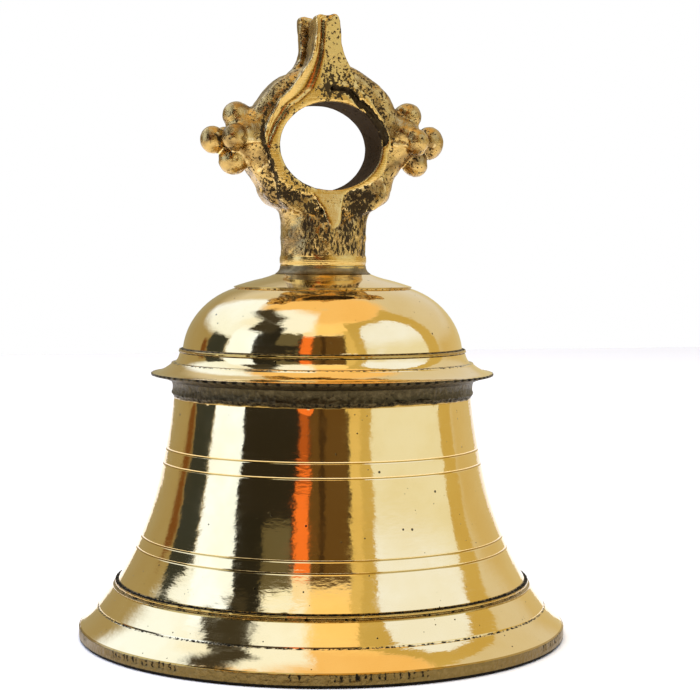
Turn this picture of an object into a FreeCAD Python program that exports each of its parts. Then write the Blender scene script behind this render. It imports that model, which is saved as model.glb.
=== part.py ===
"""Hanging temple and sanctus bell with a cast ring crown, a swivelling hanger and a ball clapper.

Millimetres, +Z up. The origin is on the bell's axis in the plane of the lip, and the hole of the
crown ring runs along Y. One STEP file is written for each piece that comes apart on a bench.
"""

import FreeCAD
import Part
import math
import os

Vector = FreeCAD.Vector

# Bell shell: radii and heights of the turned outside, from the lip up
LIP_R = 84.0
LIP_BAND_H = 4.0
LIP_ROUND = 0.7
FLARE_GROOVE = (77.2, 10.7)
LEDGE = (72.5, 17.9)
BEAD = (71.3, 18.9)
BEAD_SECTION_R = 0.7
WAIST_FOOT = (70.3, 19.9)
WAIST_MIDDLE = [(64.3, 31.2), (58.8, 45.4), (54.7, 62.3)]
WAIST_TOP = (51.4, 82.7)
ROUGH_BAND_R = 52.2
ROUGH_BAND_TOP = 87.7
FLANGE_R = 59.3
FLANGE_Z = 89.6
FLANGE_EDGE = 0.9
STEP = (52.3, 93.8)
STEP_DEPTH = 1.6
DOME_BAND_TOP = (49.25, 97.5)
DOME_BEAD_R = 49.7
DOME_BEAD_TOP = 98.8
DOME_FOOT = (48.3, 99.0)
DOME_MIDDLE = [(46.3, 106.0), (40.7, 113.6)]
DOME_TOP = (30.5, 119.5)
DISC_R = 31.0
DISC_EDGE = 0.6
SEAT_R = 17.0
SEAT_Z = 124.6
LINE_HEIGHTS = (31.2, 34.9, 59.9, 64.8)  # engraved lines round the waist
LINE_HALF_WIDTH = 0.35
LINE_DEPTH = 0.3

# Bell shell: the cast inside, from the lip up
INNER_LIP_R = 78.4
INNER_FOOT = (77.2, 1.4)
INNER_WAIST = [(69.8, 12.0), (61.0, 27.0), (54.3, 43.0), (50.4, 60.0)]
INNER_SHOULDER = (46.9, 84.0)
INNER_DOME_FOOT = (43.8, 99.0)
INNER_DOME_MIDDLE = (39.4, 109.3)
INNER_DOME_TOP = (27.5, 116.2)
INNER_SEAT_R = 17.5
INNER_SEAT_Z = 119.0

# Crown: ring, finial stump, bud clusters, neck and the spigot that goes through the bell
RING_Z = 168.0
HOLE_HALF_WIDTH = 18.0
HOLE_HALF_HEIGHT = 15.0
RING_R = 27.8
RING_HALF_DEPTH = 8.0
RING_EDGE_ROUND = 4.0
SHOULDER = [(26.6, 160.0), (24.4, 154.0), (22.6, 149.0), (14.0, 146.4)]
COLLAR_R = 22.4
COLLAR_HALF_DEPTH = 10.8
COLLAR_CHAMFER = 0.9
NECK_R = 14.6
NECK_TOP = 147.0
NECK_SHOULDER = (9.0, 158.0)
NECK_BAND_R = 14.9
NECK_BAND_TOP = 131.0
SPIGOT_R = 8.0
SPIGOT_END_Z = 112.1
STUMP_EDGE = [(4.0, 212.5), (4.5, 205.3), (6.4, 198.0), (10.4, 190.6), (19.4, 181.0)]
STUMP_WEB_INSET = 2.0
STUMP_BACK_SPREAD = 2.2
PLATE_THICKNESS = 4.6
BUD_CENTRE = (31.6, 170.5)
BUD_CORE_R = 7.2
BUD_REACH = 6.8
BUD_R = 5.3
ARM_HALF_HEIGHT = 9.2
ARM_HALF_DEPTH = 6.6
ROUGH_CUT = [(14.6, 139.0), (9.6, 152.0)]  # (depth, height) of the hollow each side of the tongue
FILED_CUT = [(14.6, 140.0), (10.8, 152.0)]  # the same for the tongue's filed face
TONGUE = [(7.4, 152.5), (3.4, 145.5), (0.4, 140.1)]
FILLET_R = 16.6
FILLET_H = 2.6

# Fixing and hanger inside the dome
BORE_R = 8.2
WASHER_R = 14.5
WASHER_T = 1.6
NUT_ACROSS_FLATS = 24.0
NUT_H = 10.0
NUT_FLOOR = 2.4
HEAD_R = 6.6
HEAD_T = 2.0
END_PLAY = 0.1
STEM_R = 3.5
STEM_PLAY = 0.08
FORK_GAP_UNDER_NUT = 0.8
FORK_BRIDGE_T = 3.4
CHEEK_T = 3.2
EYE_T = 5.0
EYE_SIDE_PLAY = 0.1
EYE_R = 5.5
EYE_PLAY = 0.4
PIN_R = 2.5
PIN_PLAY = 0.05
PIN_HEAD_R = 4.0
PIN_HEAD_T = 1.8
PIN_TAIL = 4.2
PIN_WASHER_R = 4.6
PIN_WASHER_T = 0.9
PIN_WASHER_PLAY = 0.15
SPLIT_R = 0.6
SPLIT_OFFSET = 2.6
SPLIT_EYE_R = 1.5

# Clapper
BALL_R = 14.5
BALL_Z = 21.9
BALL_FLAT = 13.0
BALL_COLLAR_R = 7.0
BALL_COLLAR_H = 3.0
SHANK_TOP_R = 3.4
SHANK_BOTTOM_R = 4.6
TAIL_R = 3.0
TAIL_END_Z = 4.5
TAIL_NUT_FLATS = 10.0
TAIL_NUT_H = 3.2

# Heights that follow from the stack inside the dome
NUT_TOP_Z = INNER_SEAT_Z - WASHER_T
NUT_BOTTOM_Z = NUT_TOP_Z - NUT_H
HEAD_BOTTOM_Z = NUT_BOTTOM_Z + NUT_FLOOR + END_PLAY
FORK_TOP_Z = NUT_BOTTOM_Z - FORK_GAP_UNDER_NUT
CROTCH_Z = FORK_TOP_Z - FORK_BRIDGE_T
PIN_Z = CROTCH_Z - EYE_R - EYE_PLAY
CHEEK_INNER_Y = EYE_T / 2 + EYE_SIDE_PLAY
CHEEK_OUTER_Y = CHEEK_INNER_Y + CHEEK_T


def at(point):
    """A point of a turned outline, given as (radius, height)."""
    return Vector(point[0], 0, point[1])


def run(*points):
    """Straight edges through the points of an outline."""
    return [Part.LineSegment(at(a), at(b)).toShape() for a, b in zip(points, points[1:])]


def arc(start, middle, end):
    return [Part.Arc(at(start), at(middle), at(end)).toShape()]


def curve(*points):
    """One smooth edge through the points of an outline."""
    spline = Part.BSplineCurve()
    spline.interpolate([at(p) for p in points])
    return [spline.toShape()]


def turned(edges):
    """The solid that a closed outline of edges sweeps round the Z axis."""
    face = Part.Face(Part.Wire(Part.__sortEdges__(edges)))
    return face.revolve(Vector(0, 0, 0), Vector(0, 0, 1), 360)


def cylinder_z(radius, low, high):
    return Part.makeCylinder(radius, high - low, Vector(0, 0, low))


def cylinder_y(radius, low, high, x=0.0, z=0.0):
    return Part.makeCylinder(radius, high - low, Vector(x, low, z), Vector(0, 1, 0))


def hexagon_z(across_flats, low, high):
    corner = across_flats / math.sqrt(3)
    points = [
        Vector(corner * math.cos(math.radians(60 * i)), corner * math.sin(math.radians(60 * i)), low)
        for i in range(7)
    ]
    return Part.Face(Part.makePolygon(points)).extrude(Vector(0, 0, high - low))


def plate_y(points, low, high):
    """A plate with an outline of (x, z) points, from y = low to y = high."""
    corners = [Vector(x, low, z) for x, z in points]
    face = Part.Face(Part.makePolygon(corners + corners[:1]))
    return face.extrude(Vector(0, high - low, 0))


def mirrored(half):
    """The closed (x, z) outline of a right half listed from the top down."""
    return half + [(-x, z) for x, z in reversed(half)]


def fused(shapes):
    return shapes[0].multiFuse(shapes[1:]).removeSplitter()


def save(name, shape):
    solids = shape.Solids
    body = solids[0] if len(solids) == 1 else Part.makeCompound(solids)
    if not all(s.isValid() for s in solids):
        raise ValueError(name + " is not valid")
    body.exportStep("parts/" + name + ".step")
    print(name, len(solids), "solid", round(sum(s.Volume for s in solids) / 1000, 2), "cm3")


def outer_outline():
    """The turned outside of the bell, from the lip's foot to the seat of the crown."""
    lip_top = (LIP_R - 0.5, LIP_BAND_H + 0.4)
    groove_r, groove_z = FLARE_GROOVE
    bead_r, bead_z = BEAD
    flange_top = (FLANGE_R - 0.2, FLANGE_Z + FLANGE_EDGE)
    step_r, step_z = STEP
    return (
        arc((LIP_R - LIP_ROUND, 0), (LIP_R - 0.2, 0.2), (LIP_R, LIP_ROUND))
        + run((LIP_R, LIP_ROUND), (LIP_R, LIP_BAND_H), lip_top)
        + arc(lip_top, (80.2, 7.25), (groove_r + 0.3, groove_z - 0.3))
        + run((groove_r + 0.3, groove_z - 0.3), (groove_r - 0.5, groove_z), (groove_r, groove_z + 0.5))
        + arc((groove_r, groove_z + 0.5), (74.6, 14.4), (LEDGE[0], LEDGE[1] - 0.3))
        + run((LEDGE[0], LEDGE[1] - 0.3), (LEDGE[0] - 0.4, LEDGE[1]), (bead_r + 0.4, bead_z - 0.6))
        + arc((bead_r + 0.4, bead_z - 0.6), (bead_r + BEAD_SECTION_R, bead_z), (bead_r, bead_z + 0.7))
        + run((bead_r, bead_z + 0.7), (WAIST_FOOT[0] + 0.5, WAIST_FOOT[1] - 0.8), WAIST_FOOT)
        + curve(WAIST_FOOT, *WAIST_MIDDLE, WAIST_TOP)
        + run(WAIST_TOP, (ROUGH_BAND_R, WAIST_TOP[1] + 0.5), (ROUGH_BAND_R, ROUGH_BAND_TOP))
        + run((ROUGH_BAND_R, ROUGH_BAND_TOP), (FLANGE_R - 0.4, FLANGE_Z), flange_top)
        + arc(flange_top, (55.4, 91.4), (step_r, step_z - 0.4))
        + run((step_r, step_z - 0.4), (step_r, step_z), (step_r - STEP_DEPTH, step_z + 0.3))
        + arc((step_r - STEP_DEPTH, step_z + 0.3), (49.75, 95.7), DOME_BAND_TOP)
        + run(DOME_BAND_TOP, (DOME_BEAD_R, DOME_BAND_TOP[1] + 0.3))
        + run((DOME_BEAD_R, DOME_BAND_TOP[1] + 0.3), (DOME_BEAD_R, DOME_BEAD_TOP - 0.3))
        + run((DOME_BEAD_R, DOME_BEAD_TOP - 0.3), (DOME_BEAD_R - 0.6, DOME_BEAD_TOP), DOME_FOOT)
        + curve(DOME_FOOT, *DOME_MIDDLE, DOME_TOP)
        + run(DOME_TOP, (DISC_R, DOME_TOP[1] + 0.1), (DISC_R, DOME_TOP[1] + DISC_EDGE))
        + arc((DISC_R, DOME_TOP[1] + DISC_EDGE), (23.8, 122.4), (SEAT_R, SEAT_Z))
    )


def inner_outline():
    """The cast inside of the bell, from the lip's foot to the seat of the washer."""
    return (
        run((INNER_LIP_R, 0), INNER_FOOT)
        + curve(INNER_FOOT, *INNER_WAIST, INNER_SHOULDER, INNER_DOME_FOOT)
        + arc(INNER_DOME_FOOT, INNER_DOME_MIDDLE, INNER_DOME_TOP)
        + run(INNER_DOME_TOP, (INNER_SEAT_R, INNER_SEAT_Z), (BORE_R, INNER_SEAT_Z))
    )


def waist_radius(height):
    """The outer radius of the waist at a height."""
    spline = Part.BSplineCurve()
    spline.interpolate([at(p) for p in (WAIST_FOOT, *WAIST_MIDDLE, WAIST_TOP)])
    level = Part.Plane(Vector(0, 0, height), Vector(0, 0, 1))
    return spline.intersect(level)[0][0].X


def engraved_line(height):
    """A shallow V cut round the waist."""
    surface_r = waist_radius(height)
    tip = (surface_r - LINE_DEPTH, height)
    reach = 4 * LINE_HALF_WIDTH / LINE_DEPTH
    low = (surface_r + 1.0, height - LINE_HALF_WIDTH * (1 + reach) / 1.6)
    high = (surface_r + 1.0, height + LINE_HALF_WIDTH * (1 + reach) / 1.6)
    return turned(run(tip, low, high, tip))


def bell_body():
    """The bell itself: lip, waist, brim and dome in one casting, turned outside."""
    closing = run((INNER_LIP_R, 0), (LIP_R - LIP_ROUND, 0))
    closing += run((SEAT_R, SEAT_Z), (BORE_R, SEAT_Z), (BORE_R, INNER_SEAT_Z))
    shell = turned(outer_outline() + inner_outline() + closing)
    for height in LINE_HEIGHTS:
        shell = shell.cut(engraved_line(height))
    return shell


def oval_hole():
    centre = Vector(0, -40, RING_Z)
    oval = Part.Ellipse(
        centre + Vector(HOLE_HALF_WIDTH, 0, 0), centre + Vector(0, 0, HOLE_HALF_HEIGHT), centre
    )
    return Part.Face(Part.Wire(oval.toShape())).extrude(Vector(0, 80, 0))


def ring_disc():
    """The plump disc the ring is cut from, with its shoulders over the neck."""
    disc = cylinder_y(RING_R, -RING_HALF_DEPTH, RING_HALF_DEPTH, 0, RING_Z)
    rims = [e for e in disc.Edges if e.Closed]
    disc = disc.makeFillet(RING_EDGE_ROUND, rims)
    shoulder = plate_y(mirrored(SHOULDER), -RING_HALF_DEPTH, RING_HALF_DEPTH)
    upright = [e for e in shoulder.Edges if abs(e.BoundBox.YLength) < 0.01]
    return [disc, shoulder.makeChamfer(1.5, upright)]


def collar():
    """The raised rim round the hole, on both faces of the ring."""
    rim = cylinder_y(COLLAR_R, -COLLAR_HALF_DEPTH, COLLAR_HALF_DEPTH, 0, RING_Z)
    return rim.makeChamfer(COLLAR_CHAMFER, [e for e in rim.Edges if e.Closed])


def stump_plate(offset, low, high):
    """One layer of the finial: a waisted plate, its edge moved outwards by an offset."""
    right = [Vector(x + offset, low, z) for x, z in STUMP_EDGE]
    left = [Vector(-p.x, low, p.z) for p in reversed(right)]
    edges = []
    for side in (right, left):
        spline = Part.BSplineCurve()
        spline.interpolate(side)
        edges.append(spline.toShape())
    edges.insert(1, Part.LineSegment(right[-1], left[0]).toShape())
    edges.append(Part.LineSegment(left[-1], right[0]).toShape())
    return Part.Face(Part.Wire(edges)).extrude(Vector(0, high - low, 0))


def finial():
    """The broken-topped stump over the ring: two plates with a thinner web between."""
    inner = COLLAR_HALF_DEPTH - PLATE_THICKNESS
    return [
        stump_plate(0, -COLLAR_HALF_DEPTH + 0.6, -inner),
        stump_plate(-STUMP_WEB_INSET, -inner, inner),
        stump_plate(STUMP_BACK_SPREAD, inner, COLLAR_HALF_DEPTH - 0.6),
    ]


def bud_cluster(side):
    """Five buds on a core and a flattened arm, on one side of the ring; side is 1 or -1."""
    x, z = side * BUD_CENTRE[0], BUD_CENTRE[1]
    root = Vector(side * 20.0, 0, z)
    oval = Part.Ellipse(
        root + Vector(0, 0, ARM_HALF_HEIGHT), root + Vector(0, ARM_HALF_DEPTH, 0), root
    )
    arm = Part.Face(Part.Wire(oval.toShape())).extrude(Vector(x - side * 20.0, 0, 0))
    reaches = [(1, 0, 0), (0, 1, 0), (0, -1, 0), (0, 0, 1), (0, 0, -1)]
    buds = [
        Part.makeSphere(BUD_R, Vector(x + side * BUD_REACH * a, BUD_REACH * b, z + BUD_REACH * 1.1 * c))
        for a, b, c in reaches
    ]
    return [arm, Part.makeSphere(BUD_CORE_R, Vector(x, 0, z))] + buds


def slope_cut(slope):
    """What a file takes off both faces of the neck along a slope of (depth, height) points."""
    (depth_low, z_low), (depth_high, z_high) = slope
    cuts = []
    for side in (1, -1):
        corners = [
            (depth_low + 0.1, z_low), (depth_high, z_high), (depth_high, z_high + 7.0),
            (depth_low + 9.0, z_high + 7.0), (depth_low + 9.0, z_low),
        ]
        points = [Vector(-25, side * y, z) for y, z in corners]
        cuts.append(Part.Face(Part.makePolygon(points + points[:1])).extrude(Vector(50, 0, 0)))
    return cuts[0].fuse(cuts[1])


def neck():
    """Round neck with a turned band at its foot and a filed tongue under the ring."""
    top_r, top_z = NECK_SHOULDER
    stem = turned(
        run(
            (0, SEAT_Z), (NECK_BAND_R, SEAT_Z), (NECK_BAND_R, NECK_BAND_TOP - 0.3),
            (NECK_R, NECK_BAND_TOP), (NECK_R, NECK_TOP), (top_r, top_z), (0, top_z), (0, SEAT_Z),
        )
    )
    tongue = plate_y(mirrored(TONGUE), -NECK_R, NECK_R).cut(slope_cut(FILED_CUT))
    return [stem.cut(slope_cut(ROUGH_CUT)), tongue]


def crown_loop():
    """Ring with finial stump, bud clusters, neck and spigot: one rough casting."""
    pieces = ring_disc() + [collar()] + finial() + neck()
    pieces += bud_cluster(1) + bud_cluster(-1)
    pieces.append(cylinder_z(SPIGOT_R, SPIGOT_END_Z, SEAT_Z))
    return fused(pieces).cut(oval_hole()).removeSplitter()


def foot_fillet():
    """The brazed fillet round the foot of the neck."""
    low, high = (FILLET_R, SEAT_Z), (NECK_BAND_R, SEAT_Z + FILLET_H)
    corner = (NECK_BAND_R, SEAT_Z)
    return turned(run(high, corner, low) + arc(low, (NECK_BAND_R + 0.6, SEAT_Z + 0.8), high))


def crown_washer():
    return cylinder_z(WASHER_R, NUT_TOP_Z, INNER_SEAT_Z).cut(
        cylinder_z(BORE_R, NUT_TOP_Z, INNER_SEAT_Z)
    )


def crown_nut():
    """Cup nut on the spigot; its floor keeps the head of the hanger in."""
    blank = hexagon_z(NUT_ACROSS_FLATS, NUT_BOTTOM_Z, NUT_TOP_Z)
    hollow = cylinder_z(SPIGOT_R, NUT_BOTTOM_Z + NUT_FLOOR, NUT_TOP_Z)
    way_out = cylinder_z(STEM_R + STEM_PLAY, NUT_BOTTOM_Z, NUT_TOP_Z)
    corner_r = NUT_ACROSS_FLATS / math.sqrt(3)
    dressed = turned(
        run(
            (0, NUT_BOTTOM_Z), (corner_r - 1.6, NUT_BOTTOM_Z), (corner_r, NUT_BOTTOM_Z + 1.0),
            (corner_r, NUT_TOP_Z - 1.0), (corner_r - 1.6, NUT_TOP_Z), (0, NUT_TOP_Z), (0, NUT_BOTTOM_Z),
        )
    )
    return blank.common(dressed).cut(hollow).cut(way_out)


def hanger_fork():
    """Headed stem that turns in the cup nut, with a fork below for the clapper's eye."""
    head = cylinder_z(HEAD_R, HEAD_BOTTOM_Z, HEAD_BOTTOM_Z + HEAD_T)
    stem = cylinder_z(STEM_R, FORK_TOP_Z, HEAD_BOTTOM_Z)
    bridge = Part.makeBox(
        2 * EYE_R, 2 * CHEEK_OUTER_Y, FORK_BRIDGE_T, Vector(-EYE_R, -CHEEK_OUTER_Y, CROTCH_Z)
    )
    pieces = [head, stem, bridge]
    for low in (CHEEK_INNER_Y, -CHEEK_OUTER_Y):
        pieces.append(
            Part.makeBox(2 * EYE_R, CHEEK_T, CROTCH_Z - PIN_Z, Vector(-EYE_R, low, PIN_Z))
        )
        pieces.append(cylinder_y(EYE_R, low, low + CHEEK_T, 0, PIN_Z))
    return fused(pieces).cut(cylinder_y(PIN_R, -CHEEK_OUTER_Y, CHEEK_OUTER_Y, 0, PIN_Z))


def split_pin_y():
    return CHEEK_OUTER_Y + PIN_WASHER_T + SPLIT_OFFSET / 2 + 0.2


def pivot_pin():
    """Headed pin, fast in the fork, drilled across its tail for the split pin."""
    shaft = cylinder_y(PIN_R, -CHEEK_OUTER_Y, CHEEK_OUTER_Y + PIN_TAIL, 0, PIN_Z)
    head = cylinder_y(PIN_HEAD_R, -CHEEK_OUTER_Y - PIN_HEAD_T, -CHEEK_OUTER_Y, 0, PIN_Z)
    hole = Part.makeCylinder(
        SPLIT_R, 4 * PIN_R, Vector(-2 * PIN_R, split_pin_y(), PIN_Z), Vector(1, 0, 0)
    )
    return fused([shaft, head]).cut(hole)


def pin_washer():
    low, high = CHEEK_OUTER_Y, CHEEK_OUTER_Y + PIN_WASHER_T
    bore = cylinder_y(PIN_R + PIN_WASHER_PLAY, low, high, 0, PIN_Z)
    return cylinder_y(PIN_WASHER_R, low, high, 0, PIN_Z).cut(bore)


def split_pin():
    """Wire pin with a round eye at one end and two splayed legs at the other."""
    y = split_pin_y()
    leg_start = Vector(PIN_R + 0.6, y, PIN_Z)
    straight = Part.makeCylinder(
        SPLIT_R, 2 * PIN_R + 1.2, Vector(-PIN_R - 0.6, y, PIN_Z), Vector(1, 0, 0)
    )
    eye = Part.makeTorus(
        SPLIT_EYE_R, SPLIT_R, Vector(-PIN_R - 0.6 - SPLIT_EYE_R, y, PIN_Z), Vector(0, 1, 0)
    )
    pieces = [straight, eye, Part.makeSphere(SPLIT_R, leg_start)]
    for lean in (1, -1):
        pieces.append(Part.makeCylinder(SPLIT_R * 0.8, 2.6, leg_start, Vector(1.0, 0, lean)))
    return fused(pieces)


def clapper_shank():
    """Forged iron rod: flat bored eye, tapered shank, shoulder for the ball and a thin tail."""
    ball_top = BALL_Z + BALL_FLAT + BALL_COLLAR_H
    flat_foot = PIN_Z - EYE_R - 3.0
    eye = cylinder_y(EYE_R, -EYE_T / 2, EYE_T / 2, 0, PIN_Z)
    flat = Part.makeBox(
        2 * SHANK_TOP_R, EYE_T, PIN_Z - flat_foot, Vector(-SHANK_TOP_R, -EYE_T / 2, flat_foot)
    )
    shank = turned(
        run(
            (0, flat_foot + 1.6), (EYE_T / 2, flat_foot + 1.6), (SHANK_TOP_R, flat_foot - 1.5),
            (SHANK_BOTTOM_R, ball_top), (TAIL_R, ball_top), (TAIL_R, TAIL_END_Z + 0.5),
            (TAIL_R - 0.6, TAIL_END_Z), (0, TAIL_END_Z), (0, flat_foot + 1.6),
        )
    )
    hole = cylinder_y(PIN_R + PIN_PLAY, -EYE_T, EYE_T, 0, PIN_Z)
    return fused([eye, flat, shank]).cut(hole)


def clapper_ball():
    """Turned brass ball with a short collar on top, bored for the shank's tail."""
    low, high = BALL_Z - BALL_FLAT, BALL_Z + BALL_FLAT
    flat_r = math.sqrt(BALL_R**2 - BALL_FLAT**2)
    top = high + BALL_COLLAR_H
    collar_foot = BALL_Z + math.sqrt(BALL_R**2 - BALL_COLLAR_R**2)
    return turned(
        run((TAIL_R, top), (TAIL_R, low), (flat_r, low))
        + arc((flat_r, low), (BALL_R, BALL_Z), (BALL_COLLAR_R, collar_foot))
        + run((BALL_COLLAR_R, collar_foot), (BALL_COLLAR_R - 0.8, top - 0.6))
        + run((BALL_COLLAR_R - 0.8, top - 0.6), (BALL_COLLAR_R - 1.6, top), (TAIL_R, top))
    )


def tail_nut():
    high = BALL_Z - BALL_FLAT
    low = high - TAIL_NUT_H
    return hexagon_z(TAIL_NUT_FLATS, low, high).cut(cylinder_z(TAIL_R, low, high))


PIECES = [
    bell_body,
    crown_loop,
    foot_fillet,
    crown_washer,
    crown_nut,
    hanger_fork,
    pivot_pin,
    pin_washer,
    split_pin,
    clapper_shank,
    clapper_ball,
    tail_nut,
]

os.makedirs("parts", exist_ok=True)
for piece in PIECES:
    save(piece.__name__, piece())
print("pivot height", round(PIN_Z, 3))
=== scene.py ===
"""The looks of a hanging brass bell: turned and polished body, rough cast ring crown, clapper inside.

Shapes are worked out in millimetres in the row frame, with +Z up and the hole of the crown along Y,
and are scaled to metres when a mesh is made.
"""
import math

import bpy
import numpy as np
from mathutils import Matrix, Vector


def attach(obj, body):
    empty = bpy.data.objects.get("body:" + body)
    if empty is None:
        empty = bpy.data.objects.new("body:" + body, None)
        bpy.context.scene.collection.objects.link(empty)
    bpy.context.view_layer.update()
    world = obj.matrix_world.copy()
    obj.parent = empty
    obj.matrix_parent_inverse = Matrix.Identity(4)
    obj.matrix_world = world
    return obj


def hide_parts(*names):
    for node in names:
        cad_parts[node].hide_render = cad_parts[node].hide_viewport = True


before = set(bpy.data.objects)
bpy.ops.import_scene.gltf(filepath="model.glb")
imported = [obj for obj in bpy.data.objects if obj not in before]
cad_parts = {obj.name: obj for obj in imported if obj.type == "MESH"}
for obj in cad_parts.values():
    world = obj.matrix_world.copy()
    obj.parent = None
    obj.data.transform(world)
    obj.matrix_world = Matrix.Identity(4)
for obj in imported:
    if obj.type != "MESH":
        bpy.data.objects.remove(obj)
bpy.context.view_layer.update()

MM = 0.001

# The camera: a bench height view from the front left, close enough to see the mouth's curve
CAMERA_DISTANCE = 0.5995
CAMERA_HEIGHT = 0.1289
CAMERA_AZIMUTH = -16.0
CAMERA_TURN = 0.909
CAMERA_PITCH = 2.94
CAMERA_ROLL = 0.254
CAMERA_LENS = 88.9

# Bell body, as turned: radius and height
LIP_INNER_R = 78.4
LIP_R = 84
LIP_BAND_TOP = 4
LIP_SHOULDER = (83.4, 4.5)
FLARE_GROOVE = (77.2, 10.7)
LEDGE = (72.4, 17.9)
FIN = (71.7, 19.2)
WAIST_FOOT = (70.3, 19.9)
WAIST = [WAIST_FOOT, (64.3, 31.2), (58.8, 45.4), (54.7, 62.3), (51.4, 82.7)]
ENGRAVED = (31.2, 34.9, 59.9, 64.8)
ENGRAVED_DEPTH = 0.24
BAND_R = 52.2
BAND_TOP = 87.7
FLANGE_R = 59.3
DOME_FOOT = (48.3, 99)
DOME = [DOME_FOOT, (46.3, 106), (40.7, 113.6), (30.3, 119.6)]
SEAT_R = 16.2
SEAT_Z = 124.6
BORE_R = 8.2
CEILING = 119
LIP_TEETH = 240
FLANGE_NICKS = 96
AROUND = 576
CRISP = 0.14  # how close the last row is to a corner

# Crown, as cast; its outlines are across and up in the plane of the ring
RING_Z = 168
HOLE = (18, 15)
FACE_Y = -10.7
NECK_R = 14.6
CROWN_BOX = ((-45.5, -16.5, 111), (45.5, 16.5, 214.5))
CROWN_GRID = 0.5
CHART_X = (-48, 48.1)
CHART_Z = (108, 218.1)
CHART_STEP = 0.5
FRONT = [
    (-5.2, 211.6), (-5.4, 205.5), (-6.3, 200), (-8, 196), (-10.2, 192.5), (-12.2, 189.5), (-14.5, 186.5),
    (-18, 183.2), (-20, 179.3), (-21.4, 177), (-22.8, 173), (-23.4, 170), (-22.5, 166), (-20.8, 161.8),
    (-19.6, 158), (-16.5, 154.2), (-11, 151.6), (-6, 150.6), (-4.8, 148.5), (-3.4, 145.5), (-2.3, 143),
    (-0.4, 139.8), (2.1, 142), (3.2, 145.3), (3.9, 148.7), (5, 151.6), (11.5, 154.6), (17.4, 157.8),
    (19.7, 162), (20.8, 167), (21.1, 169.6), (20.3, 172.8), (18.4, 177), (15.8, 180.8), (13, 184.9),
    (10.6, 187.3), (8.4, 191.2), (6.8, 194.6), (5.2, 197.8), (3.8, 203), (3.3, 209.5), (2.4, 212),
]
BACK = [
    (-6.9, 213.2), (-7, 210), (-6.7, 205.5), (-6.5, 203), (-7.3, 199.4), (-8.6, 196.5), (-11.6, 193),
    (-16, 189.3), (-20, 184.5), (-22.5, 178), (-23, 171), (-22.4, 164), (-20, 158), (-15.5, 153.5),
    (-8, 150.8), (-4.2, 147), (-0.5, 140), (3, 146), (6, 151), (13, 153.8), (18.5, 158.5), (21.5, 165),
    (22, 171), (20.8, 176.5), (17.5, 182), (13, 186.8), (9.5, 190), (7.2, 195), (5.4, 201), (4.6, 209),
    (3.8, 212.6),
]
RING = [
    (-9, 195), (-11.6, 193.4), (-15.6, 191.6), (-19.4, 188.5), (-22, 185.2), (-24.5, 181.5), (-27.2, 176),
    (-28.2, 170), (-27.4, 163.5), (-26, 159), (-23.4, 155.3), (-21.6, 150.8), (-19.2, 148), (-15.5, 146.6),
    (-13.5, 143), (-13, 136), (13, 136), (13.8, 143), (15.8, 145.8), (19.5, 147.8), (22.2, 149.8),
    (23.4, 153.1), (24.3, 156.8), (26, 159.4), (27.8, 164.5), (28.3, 171), (27, 177), (24.8, 180.9),
    (22.6, 185.2), (19.2, 189.1), (13.7, 192.8), (9.2, 195.4),
]
LOWER_LEFT = [
    (-21, 161.5), (-19.7, 158), (-18.5, 153), (-17.8, 149.2), (-14.3, 146), (-8, 145), (-3, 149),
    (-9, 156), (-15.5, 162),
]
LOWER_RIGHT = [
    (2, 152), (11.5, 155.2), (17.3, 158.6), (19.4, 156), (19.7, 152.5), (18.7, 149.4), (15.4, 146.6),
    (9, 145.4), (3.4, 147),
]
FLAW = [
    (0.5, 188), (4.6, 187.2), (7.2, 185.4), (10.1, 183.2), (12.8, 180.9), (15, 178.5), (17, 175.6),
    (18.4, 172.2), (18.6, 168.6),
]
CREVICE = [(-21.6, 181), (-23.6, 175), (-23.8, 169.5), (-22.4, 166), (-20.6, 161.5), (-19.3, 157), (-18, 150)]


# ---- noise

def lattice(ix, iy, iz, seed):
    """A repeatable number from -1 to 1 for each whole point."""
    h = ix * 73856093 ^ iy * 19349663 ^ iz * 83492791 ^ (seed * 2654435761 & 0x7FFFFFFF)
    h = (h ^ (h >> 13)) * 1274126177 & 0xFFFFFFFF
    h = (h ^ (h >> 15)) * 668265263 & 0xFFFFFFFF
    return ((h ^ (h >> 16)) & 0xFFFFFF) / 8388607.5 - 1


def noise(x, y, z, size, seed=0):
    """Smooth noise from -1 to 1 whose bumps are about size millimetres across."""
    points = [np.asarray(v, dtype=np.float64) / size for v in np.broadcast_arrays(x, y, z)]
    cells = [np.floor(v).astype(np.int64) for v in points]
    fx, fy, fz = ((v - c) for v, c in zip(points, cells))
    fx, fy, fz = (f * f * (3 - 2 * f) for f in (fx, fy, fz))
    total = 0
    for dx, dy, dz in np.ndindex(2, 2, 2):
        weight = (fx if dx else 1 - fx) * (fy if dy else 1 - fy) * (fz if dz else 1 - fz)
        total = total + weight * lattice(cells[0] + dx, cells[1] + dy, cells[2] + dz, seed)
    return total


def rough_noise(x, y, z, size, seed=0, octaves=3):
    """Several sizes of noise added up."""
    total = 0
    for k in range(octaves):
        total = total + noise(x, y, z, size / 2**k, seed + k) / 2**k
    return total / (2 - 2 ** (1 - octaves))


def reach(x, y):
    return np.sqrt(x**2 + y**2)


def rise(x, low, high):
    """0 below low, 1 above high, and smooth between."""
    t = np.clip((x - low) / (high - low), 0, 1)
    return t * t * (3 - 2 * t)


def fall(x, low, high):
    return 1 - rise(x, low, high)


# ---- meshes

def placed(name, data):
    made = bpy.data.objects.new(name, data)
    bpy.context.scene.collection.objects.link(made)
    return made


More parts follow.
